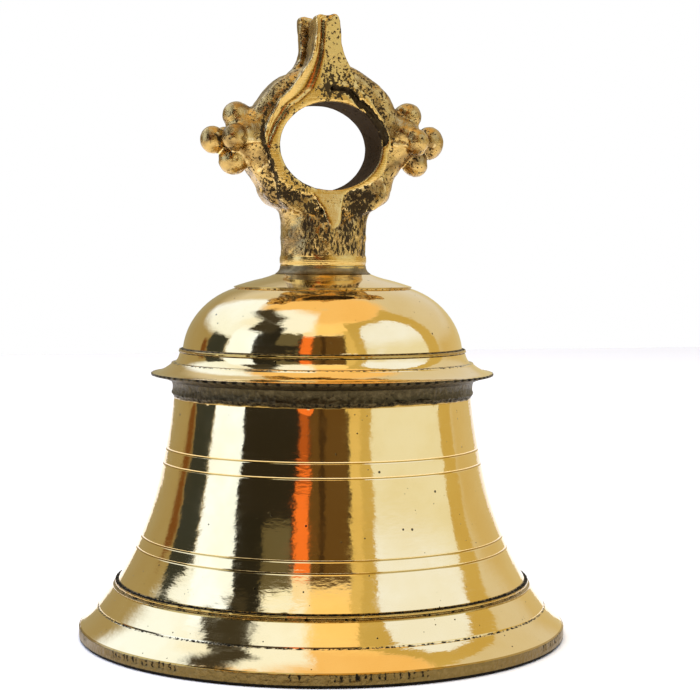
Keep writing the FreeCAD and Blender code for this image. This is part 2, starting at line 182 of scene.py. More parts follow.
def add_mesh(name, points_mm, quads, body, node, fields):
    """A smooth-shaded mesh from points in millimetres, riding on a body in place of a CAD node."""
    mesh = bpy.data.meshes.new(name)
    points = np.asarray(points_mm, dtype=np.float32) * MM
    mesh.vertices.add(len(points))
    mesh.vertices.foreach_set("co", points.reshape(-1))
    mesh.loops.add(quads.size)
    mesh.loops.foreach_set("vertex_index", quads.reshape(-1).astype(np.int32))
    mesh.polygons.add(len(quads))
    mesh.polygons.foreach_set("loop_start", np.arange(0, quads.size, 4, dtype=np.int32))
    mesh.polygons.foreach_set("use_smooth", np.ones(len(quads), dtype=bool))
    mesh.update(calc_edges=True)
    mesh.validate()
    for key, values in fields.items():
        layer = mesh.attributes.new(key, "FLOAT", "POINT")
        layer.data.foreach_set("value", np.asarray(values, dtype=np.float32))
    made = placed(name, mesh)
    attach(made, body)
    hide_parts(node)
    return made


def through(points, count):
    """count points evenly spaced by parameter on a smooth curve through the given ones."""
    p = np.asarray(points, dtype=float)
    if len(p) == 2:
        t = np.linspace(0, 1, count)[:, None]
        return p[0] * (1 - t) + p[1] * t
    steps = np.concatenate([[0], np.cumsum(np.linalg.norm(np.diff(p, axis=0), axis=1))])
    slope = np.gradient(p, steps, axis=0, edge_order=2)
    s = np.linspace(0, steps[-1], count)
    k = np.clip(np.searchsorted(steps, s, side="right") - 1, 0, len(p) - 2)
    span = (steps[k + 1] - steps[k])[:, None]
    t = (s - steps[k])[:, None] / span
    return (
        (2 * t**3 - 3 * t**2 + 1) * p[k] + (t**3 - 2 * t**2 + t) * span * slope[k]
        + (3 * t**2 - 2 * t**3) * p[k + 1] + (t**3 - t**2) * span * slope[k + 1]
    )


def stretch(points, count, cast=0, grime_and_shade=0):
    """Rows (radius, height, cast, dirt with painted shade) along one stretch of an outline, with tight ends.
    """
    row = through(points, count)
    length = np.linalg.norm(np.diff(row, axis=0), axis=1).sum()
    if count > 3 and length > 4 * CRISP:
        fine = through(points, 400)
        gone = np.concatenate([[0], np.cumsum(np.linalg.norm(np.diff(fine, axis=0), axis=1))])
        places = np.concatenate([[0], np.linspace(CRISP, length - CRISP, count - 2), [gone[-1]]])
        row = np.stack([np.interp(places, gone, fine[:, i]) for i in (0, 1)], axis=1)
    return np.hstack([row, np.tile([cast, grime_and_shade], (len(row), 1))])


def joined(stretches):
    """Stretches end to end, each shared corner kept once with the larger cast and dirt-with-shade marks of
    the two.
    """
    rows = stretches[0]
    for part in stretches[1:]:
        rows[-1, 2:] = np.maximum(rows[-1, 2:], part[0, 2:])
        rows = np.vstack([rows, part[1:]])
    return rows


def lathe(rows, around):
    """The angles and the quads of a closed outline turned about Z."""
    angle = np.linspace(0, 2 * math.pi, around, endpoint=False)
    n = len(rows)
    i, j = np.meshgrid(np.arange(n), np.arange(around), indexing="ij")
    i2, j2 = (i + 1) % n, (j + 1) % around
    quads = np.stack([i * around + j, i * around + j2, i2 * around + j2, i2 * around + j], axis=-1)
    return angle, quads.reshape(-1, 4)


# ---- bell body

def bell_rows():
    """The whole outline of the bell: up the outside from the lip, and down the inside."""
    # The last numbers of a stretch are its cast skin and its dirt with painted shade: dark painted into the
    # grooves, into the crevice at the waist's foot and along the lip's foot.
    lip = [
        stretch([(LIP_INNER_R, 0), (83.3, 0)], 4, cast=1),
        stretch([(83.3, 0), (83.85, 0.25), (LIP_R, 0.8)], 4, cast=1, grime_and_shade=0.8),
        stretch([(LIP_R, 0.8), (LIP_R, LIP_BAND_TOP)], 12, cast=0.58, grime_and_shade=0.1),
        stretch([(LIP_R, LIP_BAND_TOP), LIP_SHOULDER], 3, cast=0.3),
    ]
    groove_r, groove_z = FLARE_GROOVE
    groove = [
        (groove_r + 0.35, groove_z - 0.35),
        (groove_r - 0.2, groove_z - 0.1),
        (groove_r - 0.1, groove_z + 0.3),
    ]
    ledge = [(LEDGE[0], LEDGE[1] - 0.3), (LEDGE[0] - 0.15, LEDGE[1])]
    fin = [(FIN[0] - 0.1, FIN[1] - 0.45), (FIN[0] - 0.25, FIN[1] + 0.25)]
    flare = [
        stretch([LIP_SHOULDER, (80.2, 7.3), groove[0]], 7),
        stretch(groove[:2], 2, grime_and_shade=0.6),
        stretch(groove[1:], 2, grime_and_shade=0.2),
        stretch([groove[2], (74.6, 14.4), ledge[0]], 8),
        stretch(ledge, 3, cast=0.3),
        stretch([ledge[1], (71.1, 18.3)], 3, cast=0.45, grime_and_shade=0.16),
        stretch([(71.1, 18.3), fin[0]], 3, cast=0.5, grime_and_shade=0.2),
        stretch([fin[0], FIN, fin[1]], 4, cast=0.3),
        stretch([fin[1], (70.45, 19.5)], 3, cast=0.7, grime_and_shade=0.75),
        stretch([(70.45, 19.5), WAIST_FOOT], 2, cast=0.4, grime_and_shade=0.5),
    ]
    waist = through(WAIST, 200)
    foot_z, (top_r, top_z) = WAIST_FOOT[1], WAIST[-1]
    heights = [foot_z, foot_z + 0.14, *np.linspace(foot_z + 1.5, top_z - 0.8, 24)]
    heights = [z for z in heights if min(abs(z - e) for e in ENGRAVED) > 0.7]
    heights += [e + s for e in ENGRAVED for s in (-0.5, -0.3, 0, 0.3, 0.5)]
    heights = np.array(sorted(heights + [top_z]))
    cut = sum(ENGRAVED_DEPTH * np.clip(1 - abs(heights - e) / 0.3, 0, 1) for e in ENGRAVED)
    lines = sum(np.clip(1 - abs(heights - e) / 0.29, 0, 1) for e in ENGRAVED)
    radii = np.interp(heights, waist[:, 1], waist[:, 0]) - cut
    engraved = np.stack([radii, heights, 0.22 * lines, 0.12 * lines], axis=1)
    band = [(BAND_R, top_z + 0.9), (BAND_R - 0.35, 85.3), (BAND_R + 0.1, BAND_TOP)]
    flange = [(FLANGE_R - 0.3, 89.7), (FLANGE_R, 90), (FLANGE_R - 0.15, 90.5)]
    brim = [
        stretch([WAIST[-1], (top_r + 0.5, top_z + 0.35), band[0]], 4, cast=1, grime_and_shade=0.5),
        stretch(band, 8, cast=1, grime_and_shade=0.2),
        stretch([band[2], (55.5, 88.9), flange[0]], 5, cast=1, grime_and_shade=0.3),
        stretch(flange, 4, cast=1, grime_and_shade=0.4),
        stretch([flange[2], (57.6, 90.6), (55.4, 91.45), (52.3, 93.5)], 9),
        stretch([(52.3, 93.5), (52.2, 93.95)], 2),
        stretch([(52.2, 93.95), (50.9, 94.15)], 3, grime_and_shade=0.5),
        stretch([(50.9, 94.15), (49.9, 95.7), (49.35, 97.5)], 6),
        stretch([(49.35, 97.5), (49.65, 97.75)], 2, cast=0.6, grime_and_shade=0.5),
        stretch([(49.65, 97.75), (49.8, 98.2), (49.3, 98.65)], 4, cast=0.3, grime_and_shade=0.06),
        stretch([(49.3, 98.65), DOME_FOOT], 3, cast=0.6, grime_and_shade=0.6),
        stretch(DOME, 16),
        stretch([(30.3, 119.6), (30.7, 119.75)], 2, grime_and_shade=0.35),
        stretch([(30.7, 119.75), (30.8, 120.1)], 2, cast=0.2),
        stretch([(30.8, 120.1), (24, 122.2), (19.6, 123.3), (SEAT_R, SEAT_Z)], 9),
        stretch([(SEAT_R, SEAT_Z), (BORE_R, SEAT_Z)], 2, cast=1),
        stretch([(BORE_R, SEAT_Z), (BORE_R, CEILING)], 2, cast=1),
    ]
    inside = [
        stretch([(BORE_R, CEILING), (17.5, CEILING)], 2, cast=1, grime_and_shade=0.4),
        stretch([(17.5, CEILING), (27.5, 116.2), (39.4, 109.3), (43.8, 99), (46.9, 84)], 7, 1, 0.4),
        stretch([(46.9, 84), (50.4, 60), (54.3, 43), (61, 27), (69.8, 12), (77.2, 1.4)], 9, 1),
        stretch([(77.2, 1.4), (LIP_INNER_R, 0)], 2, cast=1),
    ]
    return joined(lip + flare + [engraved] + brim + inside)[:-1]


def bell_body():
    """Dense turned shell with a chattered lip and flange and an unturned rough band."""
    rows = bell_rows()
    angle, quads = lathe(rows, AROUND)
    r, z, cast, grime_and_shade = (rows[:, k:k + 1] + 0 * angle for k in range(4))
    x, y = r * np.cos(angle), r * np.sin(angle)
    outside = rise(r, 45, 46)

    lip = rise(r, 82.6, 83.2) * fall(z, 4.2, 4.45)
    tooth = np.sin(angle * LIP_TEETH + 2.5 * noise(x, y, 0, 9, 11))
    bitten = rise(noise(x, y, 0, 22, 12) + 0.4 * noise(x, y, 0, 6, 13), -0.15, 0.25)
    notch = rise(tooth + 0.35 * noise(x, y, 0, 3, 15), 0, 0.6) * bitten * rise(z, 1.7, 2.3)
    r = r - lip * (0.22 * notch + 0.06 * (1 + rough_noise(x, y, z, 3, 13)))
    z = z + lip * rise(z, 3.5, 4.1) * 0.10 * rough_noise(x, y, 0, 5, 14)
    # dirt and painted shade in the lip's notches and along its foot
    grime_and_shade = grime_and_shade + lip * (0.55 * notch + 0.4 * fall(z, 0.2, 1.2))

    rim = rise(r, 57, 58.4) * rise(z, 88.6, 89.4) * fall(z, 90.55, 90.6)
    beat = np.sin(angle * FLANGE_NICKS + 3 * noise(x, y, 0, 16, 21))
    nicks = rise(beat + 0.7 * noise(x, y, 0, 9, 22), -0.1, 0.6)
    r = r - rim * (0.34 * nicks + 0.2 * rise(noise(x, y, 0, 4, 23), 0.2, 0.9))
    # dirt and painted shade in the flange's nicks
    grime_and_shade = grime_and_shade + rim * (0.9 * nicks - 0.35)

    band = rise(z, 82.2, 82.9) * fall(z, 88.9, 89.6) * fall(r, 57, 58.4) * outside
    r = r + band * (0.24 * rough_noise(x, y, z, 1.7, 31) + 0.2 * noise(x, y, z, 11, 33))
    torn = fall(abs(z - 82.9), 0.2, 1.2) * outside
    for depth, size, seed in ((0.4, 1.8, 34), (0.35, 5, 36), (0.6, 15, 35)):
        z = z + torn * depth * noise(x, y, 0, size, seed)

    bead = rise(z, 97.4, 97.7) * fall(z, 98.8, 99) * outside * fall(r, 50.5, 51)
    r = r + bead * 0.16 * rough_noise(x, y, z, 1.5, 41)
    fin = rise(z, 17.8, 18.2) * fall(z, 19.5, 19.8) * rise(r, 70, 70.8)
    r = r + fin * 0.26 * rough_noise(x, y, z, 1.6, 43)
    grime_and_shade = grime_and_shade + (0.2 * bead + 0.5 * fin) * rise(noise(x, y, z, 1.2, 45), 0.1, 0.5) * (grime_and_shade > 0.1)

    plain = (z > 0.5) * (r < 78) * (1 - band - rim - bead - fin)
    rough = np.clip(cast * (1 - outside + plain), 0, 1) * (r > 20) * (r < 77)
    r = r + rough * 0.12 * rough_noise(x, y, z, 6, 51)
    r = r + (cast < 0.1) * 0.012 * noise(x, y, z * 1.6, 16, 61)

    points = np.stack([r * np.cos(angle), r * np.sin(angle), z], axis=-1).reshape(-1, 3)
    fields = {"cast": cast.reshape(-1), "grime_and_shade": np.clip(grime_and_shade, 0, 1).reshape(-1)}
    return add_mesh("bell", points, quads, "bell", "bell_body", fields)


# ---- crown, as a field of distances

def blend_in(a, b, soft):
    """Union of two distance fields with a fillet about soft millimetres wide."""
    h = np.clip(0.5 + 0.5 * (b - a) / soft, 0, 1)
    return b + (a - b) * h - soft * h * (1 - h)


def carve(a, b, soft):
    """a with b taken out of it, the new edges eased by soft millimetres."""
    return -blend_in(-a, b, soft)


def within(*fields, soft=1):
    """The part shared by several fields, edges eased."""
    shared = fields[0]
    for field in fields[1:]:
        shared = -blend_in(-shared, -field, soft)
    return shared


def ball(x, y, z, centre, radii):
    cx, cy, cz = centre
    rx, ry, rz = radii
    q = np.sqrt(((x - cx) / rx) ** 2 + ((y - cy) / ry) ** 2 + ((z - cz) / rz) ** 2)
    return (q - 1) * min(radii)


def slab(y, low, high):
    return np.maximum(low - y, y - high)


def oval(x, z):
    """Distance outside the wall of the crown's hole, less than 0 in the hole."""
    a, b = HOLE
    q = np.sqrt((x / a) ** 2 + ((z - RING_Z) / b) ** 2)
    return (q - 1) * b


def sample(field, low, step, points):
    """A flat or solid grid of values, read between its samples at any points."""
    q = (points - np.array(low)) / step
    cell = np.clip(np.floor(q).astype(int), 0, np.array(field.shape) - 2)
    f = q - cell
    total = 0
    for corner in np.ndindex(*[2] * field.ndim):
        weight = np.prod([f[..., k] if up else 1 - f[..., k] for k, up in enumerate(corner)], axis=0)
        total = total + weight * field[tuple(cell[..., k] + up for k, up in enumerate(corner))]
    return total


def chart(corners, closed=True):
    """A look-up of the distance to a smooth path in the ring's plane, less than 0 inside a closed one."""
    path = through([*corners, corners[0]] if closed else corners, 5 * len(corners))
    across = np.arange(*CHART_X, CHART_STEP)[:, None]
    up = np.arange(*CHART_Z, CHART_STEP)[None, :]
    nearest = np.full((across.size, up.size), np.inf)
    inside = np.zeros(nearest.shape, dtype=bool)
    for (ax, az), (bx, bz) in zip(path[:-1], path[1:]):
        ex, ez = bx - ax, bz - az
        t = np.clip(((across - ax) * ex + (up - az) * ez) / (ex**2 + ez**2 + 1e-12), 0, 1)
        nearest = np.minimum(nearest, np.hypot(across - ax - t * ex, up - az - t * ez))
        inside ^= ((az > up) != (bz > up)) & (across < ex * (up - az) / (ez + 1e-12) + ax)
    table = np.where(inside, -nearest, nearest) if closed else nearest

    def distance(x, z):
        places = np.stack(np.broadcast_arrays(x, z), axis=-1)
        return sample(table, (CHART_X[0], CHART_Z[0]), CHART_STEP, places)

    return distance


front_edge, back_edge, ring_edge = chart(FRONT), chart(BACK), chart(RING)
left_edge, right_edge = chart(LOWER_LEFT), chart(LOWER_RIGHT)
flaw_path, crevice_path = chart(FLAW, closed=False), chart(CREVICE, closed=False)


def plump(flat, across, half, radius):
    """An outline given thickness, its edges rounded over to a radius."""
    a, b = flat + radius, abs(across) - half + radius
    return np.sqrt(np.maximum(a, 0) ** 2 + np.maximum(b, 0) ** 2) + np.minimum(np.maximum(a, b), 0) - radius


def ragged(x, z, size, depth, seed):
    """The two sideways shifts that make an edge ragged."""
    return depth * noise(x, 0, z, size, seed), depth * noise(x, 0, z, size, seed + 1)


def front_face(x, z):
    """How far forward the front plate's face stands, with the scooped channel along its left edge."""
    inset = -front_edge(x, z)
    width = np.interp(z, (167, 172, 180, 187, 191, 195, 202, 212), (1.2, 2.9, 4, 5.8, 5, 4, 2.8, 2.4))
    left = rise(-x, 0.6, 2.6) * rise(z, 165, 171)
    scoop = 1.25 * np.sin(math.pi * np.clip(inset / width, 0, 1)) * left
    tilt = 0.11 * np.clip(x + 4, 0, 9) * rise(z, 186, 190)
    lean = np.interp(z, (139, 152), (4.2, 0))
    return FACE_Y - lean + scoop + tilt


def plates(x, y, z):
    """Front rim, finial and tongue in one filed face; its rougher twin behind; the web between them."""
    dx, dz = ragged(x, z, 4.5, 0.28, 82)
    edge = front_edge(x + dx, z + dz)
    back = np.where(z < 152, -8, -4.8)
    top = z - 212.3 + 0.5 * np.cos(x * 0.8 + 1) + 0.4 * noise(x, y, 0, 2.2, 84)
    front = within(edge * 0.95, front_face(x, z) - y, y - back, top, soft=0.45)
    rear = within(back_edge(x + dx, z + dz), 5.8 - y, y - 10.2 - np.interp(z, (139, 152), (4, 0)),
                  top - 0.9, soft=1.4)
    web = within(edge + 0.55, slab(y, -8, 3.6), top + 0.6, soft=1.4)
    core = within(edge + 2.6, slab(y, -6, 8), top + 1, soft=1)
    return blend_in(blend_in(front, web, 0.7), blend_in(rear, core, 0.8), 0.6)


def lowers(x, y, z):
    """The rough faces each side of the tongue, which slope from the rim to the neck."""
    dx, dz = ragged(x, z, 2.6, 0.35, 86)
    slope = np.interp(z, (146, 158), (10.4, 9.9))
    left = within(left_edge(x + dx, z + dz), -slope - y, y + 4, soft=0.6)
    right = within(right_edge(x + dx, z + dz), -slope - 0.1 - y, y + 4, soft=0.6)
    return np.minimum(left, right)


def neck(x, y, z):
    """Round neck with a turned band at its foot, swelling into the ring's shoulders."""
    radius = NECK_R + 0.35 * fall(z, 130.2, 131) - 0.35 * np.exp(-((z - 127.6) / 0.35) ** 2)
    radius = radius - 5.5 * rise(z, 146.5, 159)
    return within(reach(x, y) - radius, 123.9 - z, z - 160, soft=0.5)


def cheeks(x, y, z):
    """The hollows each side of the tongue, which cut the round neck back to the ring's face."""
    depth = np.interp(z, (138.5, 147, 160), (15.2, 9.6, 9))
    return np.where(z > 138.5, depth - abs(y), 5)


# Buds at the left and right of the ring: (outwards, depth, height) and (radius across, up)
BUDS = {
    -1: [
        ((38.9, -0.4, 170), (4.4, 4.6)), ((31, -1.6, 178.4), (4.8, 4.5)),
        ((32.2, -1.2, 162.9), (5.2, 4.9)), ((33.2, -8, 170.6), (4.4, 4.5)),
        ((33, 7.2, 170.4), (4.7, 4.7)),
    ],
    1: [
        ((39, 0.3, 170.4), (4.7, 6)), ((30.4, -1.8, 179.4), (4.9, 4.7)),
        ((33, -0.6, 163.4), (4.7, 4.7)), ((31.4, -8.2, 169.8), (4.5, 4.9)),
        ((32.6, 7.4, 170.6), (4.7, 4.7)), ((26.7, -7.7, 172.6), (2.2, 2.2)),
    ],
}


def buds(x, y, z, side):
    """A cluster of buds on a plump core, on one side of the ring; those on the left are worn soft."""
    out = x * side
    soft = 1.5 if side < 0 else 0.9
    core = ball(out, y, z, (28.6, -1.6, 171.8), (6.4, 7.4, 7.6))
    root = ball(out, y, z, (25, -0.6, 170.4), (6.5, 7.9, 10))
    mass = blend_in(core, root, 2.5)
    for centre, (across, up) in BUDS[side]:
        mass = blend_in(mass, ball(out, y, z, centre, (across, across, up)), soft)
    return mass


def flash(x, y, z):
    """The thin ridge that the mould's joint left between rim and buds."""
    half = 0.3 + 0.05 * (abs(x) - 26) ** 2
    return within(abs(z - 169) - half, 22 - abs(x), abs(x) - 30.5, abs(y) - 9.6, soft=0.6)


def lip_flaw(x, y, z):
    """A ragged channel in the rim's face, upper right, where the metal ran short."""
    dx, dz = ragged(x, z, 2.4, 0.75, 71)
    fine_x, fine_z = ragged(x, z, 1.1, 0.35, 73)
    half = np.interp(z, (168, 172, 177, 181, 186, 188), (0.6, 1.3, 1.5, 1, 0.8, 0.4))
    spread = flaw_path(x + dx + fine_x, z + dz + fine_z) - half
    return within(spread, y + 8.9 + 0.5 * noise(x, 0, z, 1.8, 75), soft=0.4)


def crown_field(x, y, z):
    """Distance to the crown's surface in millimetres, before its rough skin is added."""
    dx, dz = ragged(x, z, 12, 0.45, 77)
    xs, zs = x + dx, z + dz
    body = plump(ring_edge(xs, zs), y, 8.3, 4.6)
    body = blend_in(body, carve(neck(x, y, z), cheeks(x, y, z), 1.2), 2.4)
    body = blend_in(body, buds(xs, y, zs, -1), 2)
    body = blend_in(body, buds(xs, y, zs, 1), 1.6)
    body = blend_in(body, flash(x, y, z), 0.9)
    body = blend_in(body, lowers(x, y, z), 0.8)
    body = blend_in(body, plates(x, y, z), 0.5)
    body = carve(body, oval(x, z), 0.5)
    body = carve(body, lip_flaw(x, y, z), 0.35)
    spigot = within(reach(x, y) - 8, 112.2 - z, z - 130, soft=0.3)
    return np.minimum(body, spigot)


def on_plate(x, y, z):
    """1 on the front plate's face."""
    return rise(-front_edge(x, z), -0.3, 0.3) * fall(y - front_face(x, z), 0.4, 1)


def filed(x, y, z):
    """1 on the faces that were filed or turned bright, 0 on the skin as cast."""
    rear = 0.55 * rise(-back_edge(x, z), -0.3, 0.3) * rise(y, 8.9, 9.6)
    foot = fall(z, 130.2, 131.2)
    return np.clip(np.maximum.reduce([on_plate(x, y, z), rear, foot]), 0, 1)


def near(x, z, centre, radius):
    """1 at a place in the ring's plane, falling to 0 at a radius from it."""
    return fall(np.hypot(x - centre[0], z - centre[1]), 0.3 * radius, radius)


def streaked(x, y, z):
    """1 where the neck's front is drawn in rough upright streaks."""
    return rise(-y, 5, 8) * rise(z, 129.6, 131.4) * fall(z, 146, 149.5) * fall(-x, 9.5, 11.5)


def bored(x, y, z):
    """1 on the wall of the crown's hole."""
    return fall(oval(x, z), 0.3, 0.9) * (1 - on_plate(x, y, z))


def darkened(x, y, z):
    """How thickly black patina lies, apart from the hollows: 0 none, 0.5 half, 1 all."""
    plate = on_plate(x, y, z)
    low_facet = fall(z, 184, 204)
    facet = rise(x, -4.5, -2) * rise(z, 182, 186) * (0.27 + 0.16 * low_facet)
    pitted = 0.40 * near(x, z, (-1, 186), 6.5) + 0.4 * near(x, z, (-14.8, 178.6), 4.6)
    pitted = pitted + 0.5 * near(x, z, (-18.6, 166.5), 3.2) + 0.45 * near(x, z, (-14.5, 158.8), 4)
    low_left = rise(-x, 5, 8) * fall(z, 155, 159.5) * rise(z, 146, 148)
    plate_share = 0.05 + facet + pitted + 0.5 * low_left * rise(z, 150, 152)
    tongue_face = plate * fall(z, 151, 153)
    plate_share = plate_share * (1 - tongue_face) + 0.12 * tongue_face

    front = rise(-y, 3, 6)
    cast = np.full(x.shape, 0.24)
    cast = cast + 0.34 * low_left * front
    cast = cast + front * 0.5 * near(x, z, (10, 150.5), 7.5)
    cast = cast + 0.16 * front * rise(z, 176, 180) * fall(abs(x), 26, 28)
    cast = cast + 0.34 * streaked(x, y, z)
    cast = cast - 0.12 * rise(-x, 27, 29)
    cast = cast - 0.10 * rise(x, 19.5, 22) * fall(x, 27, 29) * front
    cast = cast - 0.16 * rise(z, 196, 199)
    cast = cast - 0.2 * rise(-x, 11, 13) * fall(z, 144, 147)
    share = cast * (1 - plate) + plate_share * plate
    share = share * rise(z, 129, 131)
    crack = fall(crevice_path(x, z) + 0.35 * noise(x, y, z, 1.4, 78), 0.25, 0.9) * front
    flaw = fall(lip_flaw(x, y, z), 0.1, 0.5)
    share = share * (1 - 0.5 * bored(x, y, z))
    return np.clip(np.maximum.reduce([share, 0.95 * crack, flaw]), 0, 1)


def skin(x, y, z):
    """Depth of the rough cast skin in millimetres."""
    smooth = filed(x, y, z)
    buds_near = rise(abs(x), 27, 30)
    lumps = 0.36 * rough_noise(x, y, z, 6, 91) * (1 - 0.4 * buds_near)
    grain = 0.26 * rough_noise(x, y, z, 1.9, 94, octaves=2) * (1 - 0.45 * buds_near)
    hacked = 0.45 * rough_noise(x, y, z * 0.33, 1.5, 97, octaves=2)
    pits = -0.7 * rise(noise(x, y, z, 1.7, 99) + 0.35 * noise(x, y, z, 7, 100), 0.62, 0.95)
    calm = 1 - 0.7 * bored(x, y, z)
    depth = (lumps + grain + hacked * streaked(x, y, z)) * (1 - smooth) * calm
    pitted = np.clip(1 - smooth, 0.15, 1)
    return depth + pits * pitted + smooth * 0.09 * noise(x, y, z, 5, 101)


def pairs_along(axis, others=slice(None)):
    """Where the samples before and after each step along an axis are."""
    head, tail = [others] * 3, [others] * 3
    head[axis], tail[axis] = slice(0, -1), slice(1, None)
    return tuple(head), tuple(tail)


def nets(field, low, step):
    """Surface of a sampled field: one vertex in each cell it crosses, one quad per crossed edge."""
    inside = field < 0
    shape = np.array(field.shape) - 1
    total = np.zeros((*shape, 3), dtype=np.float32)
    count = np.zeros(shape, dtype=np.int32)
    for axis in range(3):
        head, tail = pairs_along(axis)
        a, b = field[head], field[tail]
        crossed = inside[head] != inside[tail]
        t = np.where(crossed, a / np.where(crossed, a - b, 1), 0).astype(np.float32)
        others = [k for k in range(3) if k != axis]
        for o1, o2 in np.ndindex(2, 2):
            cut = [slice(None)] * 3
            cut[others[0]] = slice(o1, o1 + shape[others[0]])
            cut[others[1]] = slice(o2, o2 + shape[others[1]])
            hit = crossed[tuple(cut)]
            total[..., axis] += t[tuple(cut)] * hit
            total[..., others[0]] += o1 * hit
            total[..., others[1]] += o2 * hit
            count += hit
    active = count > 0
    index = np.full(shape, -1, dtype=np.int64)
    index[active] = np.arange(active.sum())
    cells = np.argwhere(active)
    points = (cells + total[active] / count[active][:, None]) * step + low
    quads = []
    for axis in range(3):
        o1, o2 = [k for k in range(3) if k != axis]
        head, tail = pairs_along(axis, slice(1, -1))
        first, second = inside[head], inside[tail]
        spots = np.argwhere(first != second)
        offset = np.ones(3, dtype=int)
        offset[axis] = 0
        corners = []
        for d1, d2 in ((-1, -1), (0, -1), (0, 0), (-1, 0)):
            cell = spots + offset
            cell[:, o1] += d1
            cell[:, o2] += d2
            corners.append(index[cell[:, 0], cell[:, 1], cell[:, 2]])
        quad = np.stack(corners, axis=1)
        outward = first[tuple(spots.T)]
        if axis == 1:
            outward = ~outward
        quad[~outward] = quad[~outward][:, ::-1]
        quads.append(quad)
    return points, np.concatenate(quads)


def relaxed(points, quads):
    """Points moved halfway to the mean of their neighbours, which takes the grid's steps out."""
    total = np.zeros_like(points)
    count = np.zeros(len(points))
    for k in range(4):
        here, beside = quads[:, k], quads[:, (k + 1) % 4]
        for a, b in ((here, beside), (beside, here)):
            count += np.bincount(a, minlength=len(points))
            for axis in range(3):
                total[:, axis] += np.bincount(a, weights=points[b, axis], minlength=len(points))
    return points + 0.5 * (total / count[:, None] - points)


def hollows_and_edges(field, low, step, points, away):
    """How far each point lies in a hollow and how far on an edge, each from 0 to 1."""
    def there(shift):
        return sample(field, low, step, points + shift)

    normal = np.stack([there(shift) - there(-shift) for shift in step * np.eye(3)], axis=1)
    normal /= np.linalg.norm(normal, axis=1)[:, None] + 1e-9
    outside, inside = there(normal * away) / away, -there(-normal * away) / away
    return np.clip(1 - outside, 0, 1), np.clip(1 - inside, 0, 1)


def sculpted(name, node, body, box, step, field_of, skin_of, depth, marks_of=None):
    """A piece made from a field with its skin, which is worked out only within depth of the surface."""
    low, high = np.array(box)
    counts = np.ceil((high - low) / step).astype(int) + 1
    axes = [start + step * np.arange(count) for start, count in zip(low, counts)]
    grid = np.meshgrid(*axes, indexing="ij", sparse=True)
    plain = field_of(*grid)
    close = abs(plain) < depth
    rough = plain.copy()
    rough[close] -= skin_of(*(v[close] for v in np.broadcast_arrays(*grid)))
    points, quads = nets(rough, low, step)
    points = relaxed(points, quads)
    marks = marks_of(plain, rough, low, step, points) if marks_of else {}
    return add_mesh(name, points, quads, body, node, marks)


def crown_marks(plain, rough, low, step, points):
    """What the crown's material reads at each point, all from 0 to 1."""
    hollow, edge = hollows_and_edges(rough, low, step, points, 1.3)
    broad, _ = hollows_and_edges(plain, low, step, points, 3)
    marks = {"hollow": np.clip(hollow + 0.35 * broad, 0, 1), "edge": edge}
    for name, mark in (("filed", filed), ("dark", darkened), ("streak", streaked), ("bore", bored)):
        marks[name] = mark(*points.T)
    return marks


def crown_loop():
    """Rough cast crown: ring with filed rims, broken finial, bud clusters and neck."""
    return sculpted("crown", "crown_loop", "bell", CROWN_BOX, CROWN_GRID,
                    crown_field, skin, 2, crown_marks)


# ---- hanger and clapper

PIN_Z = 97.3
EYE_R = 5.5
SHOULDER_Z = 37.9
THREAD_PITCH = 1
BALL_Z = 21.9
BALL_R = 14.5
BALL_FOOT = 13  # from the ball's middle down to its flat
COLLAR = 3
SHANK_BOX = ((-7, -6.5, 3.5), (7, 6.5, 104))
FORK_BOX = ((-7.5, -7.5, 90.5), (7.5, 7.5, 113))


def hammered(x, y, z):
    """Skin of the forged pieces."""
    return 0.16 * noise(x, y, z * 0.6, 4, 111) + 0.10 * rough_noise(x, y, z, 1.6, 112) - 0.1


def shank_field(x, y, z):
    """Flat bored eye, round tapered rod, shoulder and thin tail."""
    eye = within(reach(x, z - PIN_Z) - EYE_R, abs(y) - 2.45, soft=0.8)
    flat = within(abs(x) - 3.4, abs(y) - 2.45, z - PIN_Z, 88 - z, soft=0.8)
    radius = np.interp(z, (SHOULDER_Z, 87.3), (4.55, 3.35)) - 0.55 * rise(z, 86.5, 90.4)
    rod = within(reach(x, y) - radius, SHOULDER_Z - z, z - 90.4, soft=0.7)
    body = blend_in(blend_in(eye, flat, 1.5), rod, 0.5)
    tail = within(reach(x, y) - 2.95, z - SHOULDER_Z - 1, 4.6 - z, soft=0.4)
    body = np.minimum(body, tail)
    return carve(body, reach(x, z - PIN_Z) - 2.6, 0.3)


def shank_skin(x, y, z):
    """Hammered above the shoulder, screwed below it, and smooth where the pin bears."""
    bearing = fall(reach(x, z - PIN_Z), 2.9, 3.6)
    thread = -0.16 * (0.5 + 0.5 * np.cos(2 * math.pi * z / THREAD_PITCH + np.arctan2(y, x)))
    above = rise(z, SHOULDER_Z - 0.2, SHOULDER_Z + 0.4)
    return hammered(x, y, z) * above * (1 - bearing) + thread * (1 - above)


def clapper_shank():
    return sculpted("shank", "clapper_shank", "clapper", SHANK_BOX, 0.4,
                    shank_field, shank_skin, 1.2)


def fork_field(x, y, z):
    """Head and stem that turn in the cup nut, bridge and two rounded cheeks."""
    head = within(reach(x, y) - 6.6, 109.9 - z, z - 111.9, soft=0.4)
    stem = within(reach(x, y) - 3.5, 104 - z, z - 110.5, soft=0.2)
    bridge = within(abs(x) - 5.5, abs(y) - 5.8, 103.2 - z, z - 106.6, soft=0.8)
    rounded = reach(x, z - PIN_Z) - EYE_R
    upright = within(abs(x) - 5.5, PIN_Z - z, z - 106, soft=0.5)
    cheek = within(np.minimum(rounded, upright), slab(abs(y), 2.62, 5.78), soft=0.6)
    return blend_in(np.minimum(np.minimum(head, stem), bridge), cheek, 0.4)


def fork_skin(x, y, z):
    bearing = rise(z, 106, 106.8) + fall(abs(y), 2.8, 3.2)
    return hammered(x, y, z) * 0.8 * (1 - np.clip(bearing, 0, 1)) - 0.04


def hanger_fork():
    return sculpted("fork", "hanger_fork", "hanger", FORK_BOX, 0.33,
                    fork_field, fork_skin, 1)


